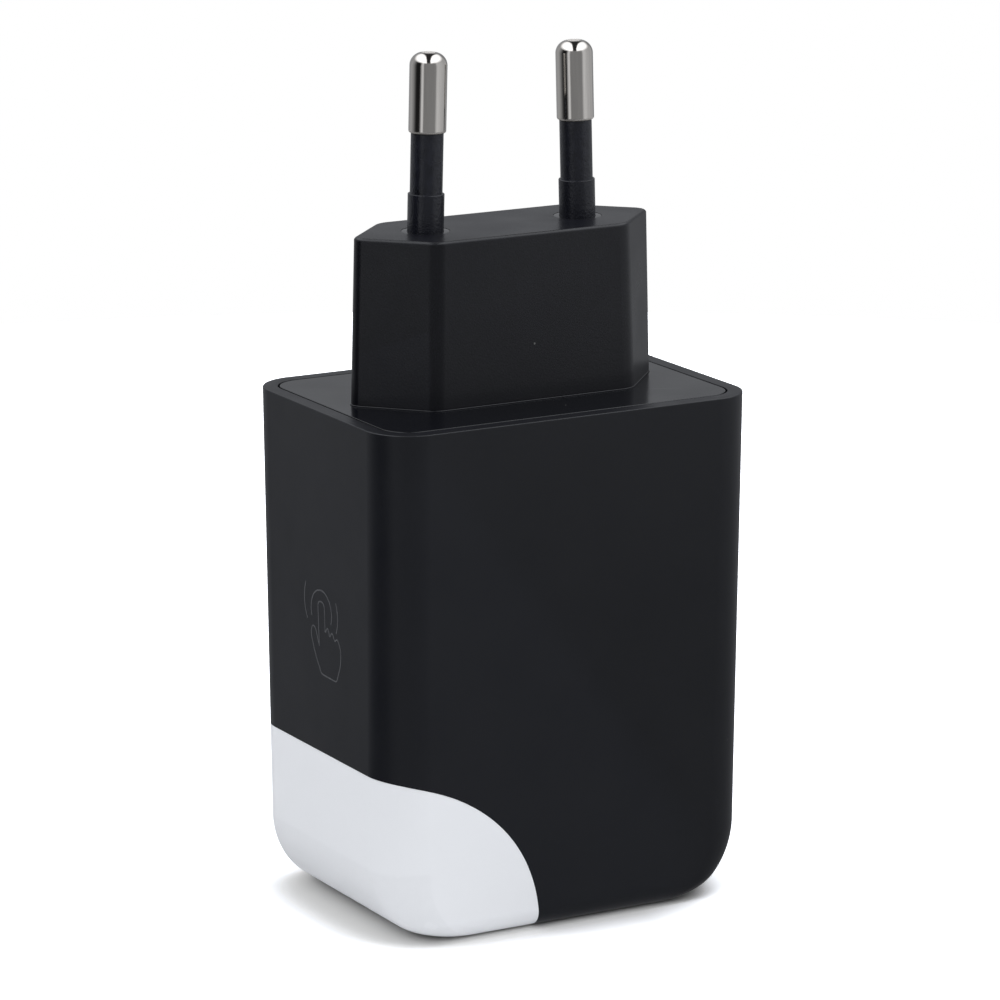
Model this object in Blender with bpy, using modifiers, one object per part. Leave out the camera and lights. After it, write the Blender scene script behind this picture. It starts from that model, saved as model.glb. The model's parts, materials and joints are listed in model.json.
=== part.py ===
"""USB wall charger with a fixed two-pin mains plug and a night light in one lower corner.

The charger stands on its outer end face, where the two USB ports open, with the mains
pins pointing up. X runs along the wide sides, Y through the thickness, Z towards the
pins, and the origin is the centre of the outer end face. All sizes are in metres.
"""

import math

import bmesh
import bpy
from mathutils import Vector

MM = 0.001
GAP = 0.3 * MM
CLOSE_FIT = 0.15 * MM

# Casing, measured over its outside
BODY_WIDTH = 44.3 * MM
BODY_DEPTH = 31.9 * MM
BODY_HEIGHT = 55.0 * MM
BODY_CORNER = 4.9 * MM
DRAFT_X = 0.35 * MM
DRAFT_Y = 0.8 * MM
END_CORNER = 4.3 * MM
END_ROUND_X = 7.5 * MM
END_ROUND_Z = 8.3 * MM
END_EDGE = 2.3 * MM
WALL = 2.2 * MM
RIM = 1.6 * MM
COVER_THICKNESS = 2.0 * MM

# Light diffuser: its edge on the wide sides is a Bezier curve, drawn in X and Z
DIFFUSER_EDGE = (
    (-22.15 * MM, 18.2 * MM),
    (-11.7 * MM, 16.7 * MM),
    (-4.0 * MM, 10.2 * MM),
    (-4.0 * MM, 0.0),
)
DIFFUSER_LIP = 0.8 * MM
LIP_REACH = 1.5 * MM

# Plug block: a six-sided block with its points towards the narrow sides
BLOCK_HEIGHT = 17.7 * MM
BLOCK_BASE = (18.3 * MM, 11.8 * MM, 7.05 * MM)
BLOCK_TOP = (17.9 * MM, 11.35 * MM, 6.6 * MM)
BLOCK_POINT_RADIUS = 1.2 * MM
BLOCK_SIDE_RADIUS = 2.5 * MM
BLOCK_TOP_EDGE = 0.35 * MM
FLANGE_REACH = 1.4 * MM
FLANGE_THICKNESS = 1.6 * MM

# Mains pins, which lean towards each other
PIN_SPACING_BASE = 18.1 * MM
PIN_SPACING_TIP = 17.0 * MM
PIN_LENGTH = 18.7 * MM
PIN_RADIUS = 1.97 * MM
PIN_TIP_FLAT = 0.6 * MM
PIN_METAL = 8.35 * MM
PIN_CORE_RADIUS = 1.3 * MM
PIN_TAIL = 23.0 * MM
SLEEVE_RADIUS = 1.71 * MM
COLLAR_RADIUS = 1.92 * MM
COLLAR_LENGTH = 3.95 * MM
COLLAR_STEP = 0.2 * MM
SLEEVE_DEPTH = 4.0 * MM

# USB type A receptacles
PORT_CENTRES = ((5.4 * MM, -5.2 * MM), (5.4 * MM, 5.2 * MM))
PORT_OPENING = (12.5 * MM, 5.12 * MM)
PORT_METAL = 0.3 * MM
PORT_START = 0.3 * MM
PORT_LENGTH = 13.7 * MM
TONGUE_WIDTH = 11.1 * MM
TONGUE_THICKNESS = 1.84 * MM
TONGUE_OFFSET = 0.9 * MM
TONGUE_START = 1.9 * MM
TONGUE_BASE = 3.2 * MM
CONTACT_OFFSETS = (-3.5 * MM, -1.0 * MM, 1.0 * MM, 3.5 * MM)
CONTACT_WIDTH = 1.0 * MM
CONTACT_THICKNESS = 0.3 * MM
CONTACT_START = PORT_START + 2.6 * MM
CONTACT_TAIL = 0.1 * MM
CONTACT_SLOT_DEPTH = 1.2 * MM
CONTACT_SLOT_START = PORT_START + 1.75 * MM

# Boards
BOARD = 1.2 * MM
USB_BOARD_SIZE = (21.0 * MM, 23.0 * MM, BOARD)
USB_BOARD_PLACE = (7.8 * MM, -0.9 * MM)
USB_BOARD_Z = 14.4 * MM
USB_PARTS_Z = USB_BOARD_Z + BOARD + GAP
CONNECTOR_SIZE = (10.2 * MM, 2.5 * MM, 4.0 * MM)
CHARGE_CHIP_SIZE = (5.0 * MM, 4.0 * MM, 1.5 * MM)
CHARGE_CHIP_Y = -3.0 * MM
USB_PARTS_X = 8.0 * MM
MAINS_BOARD_Y = 11.0 * MM
MAINS_BOARD_BOX = (-18.0 * MM, 18.5 * MM, 20.5 * MM, 50.5 * MM)
PART_FACE = MAINS_BOARD_Y - GAP
SHEET = 0.3 * MM
SHEET_MARGIN = 1.0 * MM

# Components on the mains board: size as X, height and Z, then the X and Z of the centre
FUSE = ((8.2 * MM, 7.2 * MM, 4.0 * MM), (-4.0 * MM, 47.5 * MM))
BRIDGE_RECTIFIER = ((5.0 * MM, 1.6 * MM, 4.2 * MM), (4.0 * MM, 47.5 * MM))
CONTROLLER_CHIP = ((5.0 * MM, 1.5 * MM, 3.8 * MM), (-3.2 * MM, 43.0 * MM))
OPTOCOUPLER = ((4.6 * MM, 3.4 * MM, 6.4 * MM), (14.5 * MM, 44.6 * MM))
OUTPUT_RECTIFIER = ((6.0 * MM, 2.2 * MM, 4.4 * MM), (14.3 * MM, 37.6 * MM))

# Round components on it: radius and height, then the X and Z of each axis
BULK_CAN = (4.2 * MM, 12.5 * MM)
BULK_CAN_PLACES = ((-13.4 * MM, 25.1 * MM), (-13.4 * MM, 39.4 * MM))
OUTPUT_CAN = (3.15 * MM, 9.0 * MM)
OUTPUT_CAN_PLACES = ((14.4 * MM, 24.0 * MM), (14.4 * MM, 31.0 * MM))
DISC_CAPACITOR = (3.3 * MM, 2.8 * MM)
DISC_CAPACITOR_PLACE = (6.4 * MM, 43.3 * MM)
CHOKE_PLACE = (-14.2 * MM, 47.2 * MM)
TRANSFORMER_PLACE = (0.6 * MM, 34.0 * MM)

# Wires from the pins to the mains board
WIRE_RADIUS = 0.55 * MM
WIRE_SAG = 0.8 * MM

# Night light
LAMP_BOARD_X = -9.8 * MM
LAMP_BOARD_SIZE = (1.0 * MM, 21.0 * MM, 10.5 * MM)
LAMP_Z = 10.2 * MM
LAMP_LED_SIZE = (1.2 * MM, 3.0 * MM, 2.6 * MM)
LAMP_LED_OFFSETS = (-7.5 * MM, -2.5 * MM, 2.5 * MM, 7.5 * MM)
REFLECTOR_DEPTH = 4.0 * MM
REFLECTOR_WALL = 0.8 * MM
REFLECTOR_CORNER = 1.5 * MM

# Touch sensor
TOUCH_Z = 32.0 * MM
TOUCH_BOARD_SIZE = (1.0 * MM, 14.4 * MM, 4.8 * MM)
TOUCH_BOARD_PLACE = (-12.0 * MM, -5.2 * MM)
TOUCH_CHIP_SIZE = (1.1 * MM, 3.0 * MM, 2.9 * MM)
TOUCH_CHIP_Y = -8.5 * MM
SPRING_Y = -0.6 * MM
SPRING_RADIUS = 1.9 * MM
SPRING_WIRE = 0.25 * MM
SPRING_TURNS = 5


def clear_scene():
    for scene_object in list(bpy.data.objects):
        bpy.data.objects.remove(scene_object)


def new_collection(name):
    collection = bpy.data.collections.new(name)
    bpy.context.scene.collection.children.link(collection)
    return collection


def make_material(name, colour, roughness, metallic=0.0):
    material = bpy.data.materials.new(name)
    material.use_nodes = True
    shader = material.node_tree.nodes["Principled BSDF"]
    shader.inputs["Base Color"].default_value = (*colour, 1.0)
    shader.inputs["Roughness"].default_value = roughness
    shader.inputs["Metallic"].default_value = metallic
    return material


def add_object(name, mesh, material=None):
    """Links a mesh as a named part, or as a cutter when it has no material."""
    made = bpy.data.objects.new(name, mesh)
    if material is None:
        made.hide_render = True
        made.display_type = "WIRE"
        CUTTERS.objects.link(made)
    else:
        mesh.materials.append(material)
        PARTS.objects.link(made)
    return made


def mesh_from(name, shape):
    bmesh.ops.recalc_face_normals(shape, faces=shape.faces)
    mesh = bpy.data.meshes.new(name)
    shape.to_mesh(mesh)
    shape.free()
    return mesh


def shade_round(made, degrees=35):
    made.data.shade_smooth()
    made.data.set_sharp_from_angle(angle=math.radians(degrees))


def add_bevel(made, width):
    bevel = made.modifiers.new("edges", "BEVEL")
    bevel.width = width
    bevel.segments = 1
    bevel.limit_method = "ANGLE"
    bevel.angle_limit = math.radians(40)


def add_boolean(made, other, operation):
    boolean = made.modifiers.new(other.name, "BOOLEAN")
    boolean.operation = operation
    boolean.solver = "EXACT"
    boolean.object = other


def box(name, size, centre, material=None, bevel=0.0):
    shape = bmesh.new()
    bmesh.ops.create_cube(shape, size=1.0)
    bmesh.ops.scale(shape, vec=size, verts=shape.verts)
    made = add_object(name, mesh_from(name, shape), material)
    made.location = centre
    if bevel:
        add_bevel(made, bevel)
    return made


def cylinder(name, radius, depth, centre, material=None, segments=24):
    shape = bmesh.new()
    bmesh.ops.create_cone(
        shape, cap_ends=True, segments=segments, radius1=radius, radius2=radius, depth=depth
    )
    made = add_object(name, mesh_from(name, shape), material)
    made.location = centre
    shade_round(made)
    return made


def turned(name, profile, material, steps=24, closed=False):
    """A profile of radius and height, running down the outer side, turned about Z."""
    mesh = bpy.data.meshes.new(name)
    edges = [(i, i + 1) for i in range(len(profile) - 1)]
    if closed:
        edges.append((len(profile) - 1, 0))
    mesh.from_pydata([(radius, 0.0, height) for radius, height in profile], edges, [])
    made = add_object(name, mesh, material)
    screw = made.modifiers.new("turn", "SCREW")
    screw.steps = steps
    screw.render_steps = steps
    screw.use_merge_vertices = True
    screw.merge_threshold = 0.00001
    screw.use_smooth_shade = False
    return made


def loft(name, rings, material=None):
    """Joins rings with the same number of points by quads, and closes the two ends."""
    shape = bmesh.new()
    rows = [[shape.verts.new(point) for point in ring] for ring in rings]
    count = len(rings[0])
    for lower, upper in zip(rows, rows[1:]):
        for i in range(count):
            j = (i + 1) % count
            shape.faces.new((lower[i], lower[j], upper[j], upper[i]))
    shape.faces.new(list(reversed(rows[0])))
    shape.faces.new(rows[-1])
    return add_object(name, mesh_from(name, shape), material)


def outline_solid(name, outlines, thickness, material=None, turn=(0.0, 0.0, 0.0), centre=(0.0, 0.0, 0.0)):
    """A flat outline, with holes where outlines lie inside it, given a thickness and made a mesh."""
    curve = bpy.data.curves.new(name, "CURVE")
    curve.dimensions = "2D"
    curve.fill_mode = "BOTH"
    curve.extrude = thickness / 2
    for outline in outlines:
        spline = curve.splines.new("POLY")
        spline.points.add(len(outline) - 1)
        for point, (u, v) in zip(spline.points, outline):
            point.co = (u, v, 0.0, 1.0)
        spline.use_cyclic_u = True
    guide = bpy.data.objects.new(name + "_outline", curve)
    CUTTERS.objects.link(guide)
    bpy.context.view_layer.update()
    graph = bpy.context.evaluated_depsgraph_get()
    mesh = bpy.data.meshes.new_from_object(guide.evaluated_get(graph))
    bpy.data.objects.remove(guide)
    shape = bmesh.new()
    shape.from_mesh(mesh)
    bmesh.ops.remove_doubles(shape, verts=shape.verts, dist=0.000001)
    bmesh.ops.recalc_face_normals(shape, faces=shape.faces)
    shape.to_mesh(mesh)
    shape.free()
    mesh.materials.clear()
    made = add_object(name, mesh, material)
    made.location = centre
    made.rotation_euler = turn
    return made


def wire(name, points, radius, material):
    curve = bpy.data.curves.new(name, "CURVE")
    curve.dimensions = "3D"
    curve.bevel_depth = radius
    curve.bevel_resolution = 2
    curve.use_fill_caps = True
    spline = curve.splines.new("POLY")
    spline.points.add(len(points) - 1)
    for point, place in zip(spline.points, points):
        point.co = (*place, 1.0)
    made = bpy.data.objects.new(name, curve)
    curve.materials.append(material)
    PARTS.objects.link(made)
    return made


def rectangle(half_x, half_y):
    return [(half_x, half_y), (-half_x, half_y), (-half_x, -half_y), (half_x, -half_y)]


def rounded_rectangle(half_x, half_y, radius, steps=6):
    points = []
    for corner, (side_x, side_y) in enumerate(((1, 1), (-1, 1), (-1, -1), (1, -1))):
        for step in range(steps + 1):
            angle = math.radians(90 * corner + 90 * step / steps)
            x = side_x * (half_x - radius) + radius * math.cos(angle)
            y = side_y * (half_y - radius) + radius * math.sin(angle)
            points.append((x, y))
    return points


def rounded_polygon(corners, radii, steps=3):
    """Replaces each corner of a convex outline, listed anticlockwise, by an arc."""
    points = []
    for i, corner in enumerate(corners):
        here = Vector(corner)
        back = (Vector(corners[i - 1]) - here).normalized()
        ahead = (Vector(corners[(i + 1) % len(corners)]) - here).normalized()
        half_angle = back.angle(ahead) / 2
        centre = here + (back + ahead).normalized() * (radii[i] / math.sin(half_angle))
        start = here + back * (radii[i] / math.tan(half_angle)) - centre
        turn = math.pi - 2 * half_angle
        for step in range(steps + 1):
            angle = turn * step / steps
            x = start.x * math.cos(angle) - start.y * math.sin(angle)
            y = start.x * math.sin(angle) + start.y * math.cos(angle)
            points.append((centre.x + x, centre.y + y))
    return points


def quarter_inset(height, rise, reach):
    """How far a quarter-round of this rise and reach stands back at a height above its start."""
    if height >= rise:
        return 0.0
    return reach * (1 - math.sqrt(1 - ((rise - height) / rise) ** 2))


def body_section(z, inset):
    """Half width, half depth and corner radius of the casing, or of a surface inside it."""
    above = z - inset
    slope = 1 - z / BODY_HEIGHT
    rise = END_ROUND_Z - inset
    edge = max(END_EDGE - inset, 0.3 * MM)
    half_x = BODY_WIDTH / 2 - inset - DRAFT_X * slope - quarter_inset(above, rise, END_ROUND_X - inset)
    half_y = BODY_DEPTH / 2 - inset - DRAFT_Y * slope - quarter_inset(above, edge, edge)
    share = min(above / rise, 1.0)
    radius = END_CORNER + (BODY_CORNER - END_CORNER) * share - inset
    return half_x, half_y, radius


def body_levels(inset, top, steps=8):
    """Heights of the casing's sections: close together where its end is rounded."""
    rise = END_ROUND_Z - inset
    edge = max(END_EDGE - inset, 0.3 * MM)
    levels = {inset, top}
    for step in range(1, steps + 1):
        levels.add(inset + rise * (1 - math.cos(math.radians(90 * step / steps))))
    for step in range(1, 4):
        levels.add(inset + edge * (1 - math.cos(math.radians(90 * step / 3))))
    kept = []
    for level in sorted(levels):
        if not kept or level - kept[-1] > 0.12 * MM:
            kept.append(level)
    return kept


def body_solid(name, inset, top, material=None):
    rings = []
    for z in body_levels(inset, top):
        half_x, half_y, radius = body_section(z, inset)
        rings.append([(x, y, z) for x, y in rounded_rectangle(half_x, half_y, radius)])
    return loft(name, rings, material)


def diffuser_boundary(offset, steps=14):
    """Points of the diffuser's edge in X and Z, moved outwards by an offset."""
    start, pull_start, pull_end, end = (Vector(point) for point in DIFFUSER_EDGE)
    points = []
    for step in range(steps + 1):
        t = step / steps
        place = start * (1 - t) ** 3 + pull_start * 3 * t * (1 - t) ** 2
        place += pull_end * 3 * t**2 * (1 - t) + end * t**3
        along = (pull_start - start) * (1 - t) ** 2 + (pull_end - pull_start) * 2 * t * (1 - t)
        along += (end - pull_end) * t**2
        along.normalize()
        points.append(place + Vector((-along.y, along.x)) * offset)
    return points


def diffuser_region(name, offset):
    """A cutter through the whole thickness that covers the diffuser's side of its edge."""
    reach = 3 * MM
    edge = diffuser_boundary(offset)
    outline = [(edge[0].x - reach, edge[0].y)]
    outline += [(point.x, point.y) for point in edge]
    outline += [(edge[-1].x, -reach), (edge[0].x - reach, -reach)]
    return outline_solid(name, [outline], 2 * BODY_DEPTH, turn=(math.radians(90), 0.0, 0.0))


def make_casing():
    """The sleeve-shaped casing, its mains-side cover and the light diffuser."""
    top = BODY_HEIGHT
    housing = body_solid("housing_shell", 0.0, top, BLACK_PLASTIC)
    inside = body_solid("cut_casing_inside", WALL, top + 2 * MM)
    seat = outline_solid(
        "cut_cover_seat",
        [rounded_rectangle(BODY_WIDTH / 2 - RIM, BODY_DEPTH / 2 - RIM, BODY_CORNER - RIM)],
        2 * (COVER_THICKNESS + GAP),
        centre=(0.0, 0.0, top),
    )
    add_boolean(housing, inside, "DIFFERENCE")
    add_boolean(housing, seat, "DIFFERENCE")
    add_boolean(housing, diffuser_region("cut_diffuser_window", GAP / 2), "DIFFERENCE")
    for number, (x, y) in enumerate(PORT_CENTRES, start=1):
        size = (
            PORT_OPENING[0] + 2 * (PORT_METAL + GAP),
            PORT_OPENING[1] + 2 * (PORT_METAL + GAP),
            3 * WALL,
        )
        add_boolean(housing, box(f"cut_port_{number}", size, (x, y, 0.0)), "DIFFERENCE")

    diffuser = body_solid("light_diffuser", 0.0, top, WHITE_DIFFUSER)
    lip = body_solid("join_diffuser_lip", WALL + GAP, top)
    hollow = body_solid("cut_diffuser_inside", WALL + GAP + DIFFUSER_LIP, top + 2 * MM)
    add_boolean(lip, diffuser_region("cut_lip_region", LIP_REACH), "INTERSECT")
    add_boolean(diffuser, diffuser_region("cut_diffuser_region", -GAP / 2), "INTERSECT")
    add_boolean(diffuser, lip, "UNION")
    add_boolean(diffuser, hollow, "DIFFERENCE")

    cover_inset = RIM + GAP
    cover_half_x = BODY_WIDTH / 2 - cover_inset
    cover_half_y = BODY_DEPTH / 2 - cover_inset
    cover = outline_solid(
        "mains_cover",
        [rounded_rectangle(cover_half_x, cover_half_y, BODY_CORNER - cover_inset)],
        COVER_THICKNESS,
        BLACK_COVER,
        centre=(0.0, 0.0, top - COVER_THICKNESS / 2),
    )
    window = outline_solid(
        "cut_block_window",
        [block_outline(BLOCK_BASE, GAP)],
        3 * COVER_THICKNESS,
        centre=(0.0, 0.0, top),
    )
    add_boolean(cover, window, "DIFFERENCE")
    for made in (housing, diffuser):
        shade_round(made)


def block_outline(size, offset):
    """The plug block's six-sided section: points to the narrow sides, flats to the wide ones."""
    reach, flat, half_y = size
    reach += offset * 1.2
    flat += offset * 0.4
    half_y += offset
    corners = [
        (reach, 0.0),
        (flat, half_y),
        (-flat, half_y),
        (-reach, 0.0),
        (-flat, -half_y),
        (flat, -half_y),
    ]
    side, point = BLOCK_SIDE_RADIUS, BLOCK_POINT_RADIUS
    return rounded_polygon(corners, [point, side, side, point, side, side])


def make_plug_block():
    base = BODY_HEIGHT
    top = base + BLOCK_HEIGHT
    flange_top = base - COVER_THICKNESS - GAP
    sections = [
        (flange_top - FLANGE_THICKNESS, BLOCK_BASE, FLANGE_REACH),
        (flange_top, BLOCK_BASE, FLANGE_REACH),
        (flange_top, BLOCK_BASE, 0.0),
        (base, BLOCK_BASE, 0.0),
        (top - BLOCK_TOP_EDGE, BLOCK_TOP, 0.0),
        (top - 0.3 * BLOCK_TOP_EDGE, BLOCK_TOP, -0.3 * BLOCK_TOP_EDGE),
        (top, BLOCK_TOP, -BLOCK_TOP_EDGE),
    ]
    rings = [[(x, y, z) for x, y in block_outline(size, offset)] for z, size, offset in sections]
    block = loft("plug_body", rings, BLACK_BLOCK)
    for side in (-1, 1):
        bore = cylinder(
            "cut_pin_bore_left" if side < 0 else "cut_pin_bore_right",
            PIN_CORE_RADIUS + CLOSE_FIT,
            3 * BLOCK_HEIGHT,
            (0.0, 0.0, 0.0),
        )
        socket = cylinder(
            "cut_sleeve_seat_left" if side < 0 else "cut_sleeve_seat_right",
            COLLAR_RADIUS + CLOSE_FIT,
            2 * (SLEEVE_DEPTH + GAP),
            (0.0, 0.0, 0.0),
        )
        for cutter in (bore, socket):
            cutter.parent = PIN_AXES[side]
            add_boolean(block, cutter, "DIFFERENCE")
    shade_round(block)


def make_pin_axes():
    """One empty for each pin: at its root on the block's top face, leaning as the pin leans."""
    axes = {}
    lean = math.atan((PIN_SPACING_BASE - PIN_SPACING_TIP) / 2 / PIN_LENGTH)
    for side in (-1, 1):
        axis = bpy.data.objects.new("pin_axis_left" if side < 0 else "pin_axis_right", None)
        axis.location = (side * PIN_SPACING_BASE / 2, 0.0, BODY_HEIGHT + BLOCK_HEIGHT)
        axis.rotation_euler = (0.0, -side * lean, 0.0)
        axis.empty_display_size = 5 * MM
        PARTS.objects.link(axis)
        axes[side] = axis
    return axes


def make_pins():
    metal_start = PIN_LENGTH - PIN_METAL
    dome_radius = PIN_RADIUS - PIN_TIP_FLAT
    dome = []
    for step in range(6):
        angle = math.radians(90 * step / 5)
        radius = PIN_TIP_FLAT + dome_radius * math.sin(angle)
        dome.append((radius, PIN_LENGTH - dome_radius * (1 - math.cos(angle))))
    chamfer = 0.3 * MM
    pin_profile = [
        (0.0, PIN_LENGTH),
        *dome,
        (PIN_RADIUS, metal_start),
        (PIN_CORE_RADIUS, metal_start),
        (PIN_CORE_RADIUS, chamfer - PIN_TAIL),
        (PIN_CORE_RADIUS - chamfer, -PIN_TAIL),
        (0.0, -PIN_TAIL),
    ]
    bore = PIN_CORE_RADIUS + CLOSE_FIT
    sleeve_top = metal_start - CLOSE_FIT
    sleeve_profile = [
        (bore, sleeve_top),
        (SLEEVE_RADIUS, sleeve_top),
        (SLEEVE_RADIUS, COLLAR_LENGTH + COLLAR_STEP),
        (COLLAR_RADIUS, COLLAR_LENGTH),
        (COLLAR_RADIUS, -SLEEVE_DEPTH),
        (bore, -SLEEVE_DEPTH),
    ]
    for side, word in ((-1, "left"), (1, "right")):
        pin = turned(f"pin_{word}", pin_profile, NICKEL)
        sleeve = turned(f"pin_sleeve_{word}", sleeve_profile, BLACK_SLEEVE, closed=True)
        for made in (pin, sleeve):
            made.parent = PIN_AXES[side]


def make_usb_ports():
    half_x, half_y = PORT_OPENING[0] / 2, PORT_OPENING[1] / 2
    for number, (x, y) in enumerate(PORT_CENTRES, start=1):
        outer = rounded_rectangle(half_x + PORT_METAL, half_y + PORT_METAL, 2 * PORT_METAL, steps=2)
        inner = rounded_rectangle(half_x, half_y, PORT_METAL, steps=2)
        outline_solid(
            f"usb_port_shell_{number}",
            [outer, inner],
            PORT_LENGTH,
            STEEL,
            centre=(x, y, PORT_START + PORT_LENGTH / 2),
        )
        end = PORT_START + PORT_LENGTH
        blade_y = y + TONGUE_OFFSET
        blade_end = end - TONGUE_BASE / 2
        blade_size = (TONGUE_WIDTH, TONGUE_THICKNESS, blade_end - TONGUE_START)
        blade = box(f"join_tongue_{number}", blade_size, (x, blade_y, (blade_end + TONGUE_START) / 2))
        base_size = (2 * half_x - 2 * GAP, 2 * half_y - 2 * GAP, TONGUE_BASE)
        tongue = box(f"usb_port_tongue_{number}", base_size, (x, y, end - TONGUE_BASE / 2), PORT_PLASTIC)
        add_boolean(tongue, blade, "UNION")
        face_y = blade_y - TONGUE_THICKNESS / 2
        for place, offset in enumerate(CONTACT_OFFSETS, start=1):
            slot = box(
                f"cut_contact_slot_{number}_{place}",
                (CONTACT_WIDTH + 2 * CLOSE_FIT, CONTACT_SLOT_DEPTH, PORT_LENGTH),
                (x + offset, face_y, CONTACT_SLOT_START + PORT_LENGTH / 2),
            )
            add_boolean(tongue, slot, "DIFFERENCE")
            length = end + CONTACT_TAIL - CONTACT_START
            box(
                f"usb_contact_{number}_{place}",
                (CONTACT_WIDTH, CONTACT_THICKNESS, length),
                (x + offset, face_y + CLOSE_FIT, CONTACT_START + length / 2),
                GOLD,
                bevel=0.08 * MM,
            )


def make_boards():
    usb_x, usb_y = USB_BOARD_PLACE
    box("usb_board", USB_BOARD_SIZE, (usb_x, usb_y, USB_BOARD_Z + BOARD / 2), BOARD_GREEN)
    box(
        "board_connector",
        CONNECTOR_SIZE,
        (USB_PARTS_X, PART_FACE - CONNECTOR_SIZE[1] / 2, USB_PARTS_Z + CONNECTOR_SIZE[2] / 2),
        PORT_PLASTIC,
        bevel=0.2 * MM,
    )
    box(
        "charge_control_chip",
        CHARGE_CHIP_SIZE,
        (USB_PARTS_X, CHARGE_CHIP_Y, USB_PARTS_Z + CHARGE_CHIP_SIZE[2] / 2),
        CHIP_BLACK,
        bevel=0.15 * MM,
    )
    low_x, high_x, low_z, high_z = MAINS_BOARD_BOX
    width, height = high_x - low_x, high_z - low_z
    centre_x, centre_z = (low_x + high_x) / 2, (low_z + high_z) / 2
    board_y = MAINS_BOARD_Y + BOARD / 2
    box("mains_board", (width, BOARD, height), (centre_x, board_y, centre_z), BOARD_GREEN)
    box(
        "insulation_sheet",
        (width - 2 * SHEET_MARGIN, SHEET, height - 2 * SHEET_MARGIN),
        (centre_x, MAINS_BOARD_Y + BOARD + GAP + SHEET / 2, centre_z),
        CLEAR_FILM,
    )


def board_part(name, size_and_place, material, bevel=0.2 * MM):
    """A block-shaped component that stands on the mains board."""
    size, (x, z) = size_and_place
    box(name, size, (x, PART_FACE - size[1] / 2, z), material, bevel=bevel)


def can(name, size, place, material):
    """An upright capacitor can with the rolled groove near its foot, standing on the mains board."""
    radius, height = size
    x, z = place
    groove = 0.25 * MM
    profile = [
        (0.0, height),
        (radius - 0.6 * MM, height),
        (radius - 0.15 * MM, height - 0.2 * MM),
        (radius, height - 0.6 * MM),
        (radius, 2.3 * MM),
        (radius - groove, 1.9 * MM),
        (radius - groove, 1.5 * MM),
        (radius, 1.1 * MM),
        (radius, 0.2 * MM),
        (radius - 0.2 * MM, 0.0),
        (0.0, 0.0),
    ]
    made = turned(name, profile, material, steps=20)
    made.location = (x, PART_FACE, z)
    made.rotation_euler = (math.radians(90), 0.0, 0.0)


def make_mains_parts():
    for number, place in enumerate(BULK_CAN_PLACES, start=1):
        can(f"bulk_capacitor_{number}", BULK_CAN, place, CAN_BLUE)
    for number, place in enumerate(OUTPUT_CAN_PLACES, start=1):
        can(f"output_capacitor_{number}", OUTPUT_CAN, place, CAN_SILVER)
    board_part("fuse", FUSE, FUSE_BROWN, bevel=0.4 * MM)
    board_part("bridge_rectifier", BRIDGE_RECTIFIER, CHIP_BLACK)
    board_part("controller_chip", CONTROLLER_CHIP, CHIP_BLACK, bevel=0.15 * MM)
    board_part("optocoupler", OPTOCOUPLER, CHIP_BLACK)
    board_part("output_rectifier", OUTPUT_RECTIFIER, CHIP_BLACK)
    radius, thickness = DISC_CAPACITOR
    x, z = DISC_CAPACITOR_PLACE
    cylinder("y_capacitor", radius, thickness, (x, PART_FACE - radius, z), DISC_BLUE, segments=20)
    make_choke()
    make_transformer()


def make_choke():
    """A drum-core choke: two flanges with the winding between them."""
    flange, waist, height = 2.9 * MM, 2.45 * MM, 7.5 * MM
    profile = [
        (0.0, height),
        (flange, height),
        (flange, height - 1.0 * MM),
        (waist, height - 1.2 * MM),
        (waist, 1.2 * MM),
        (flange, 1.0 * MM),
        (flange, 0.0),
        (0.0, 0.0),
    ]
    made = turned("input_choke", profile, FERRITE, steps=20)
    made.location = (CHOKE_PLACE[0], PART_FACE, CHOKE_PLACE[1])
    made.rotation_euler = (math.radians(90), 0.0, 0.0)


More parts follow.
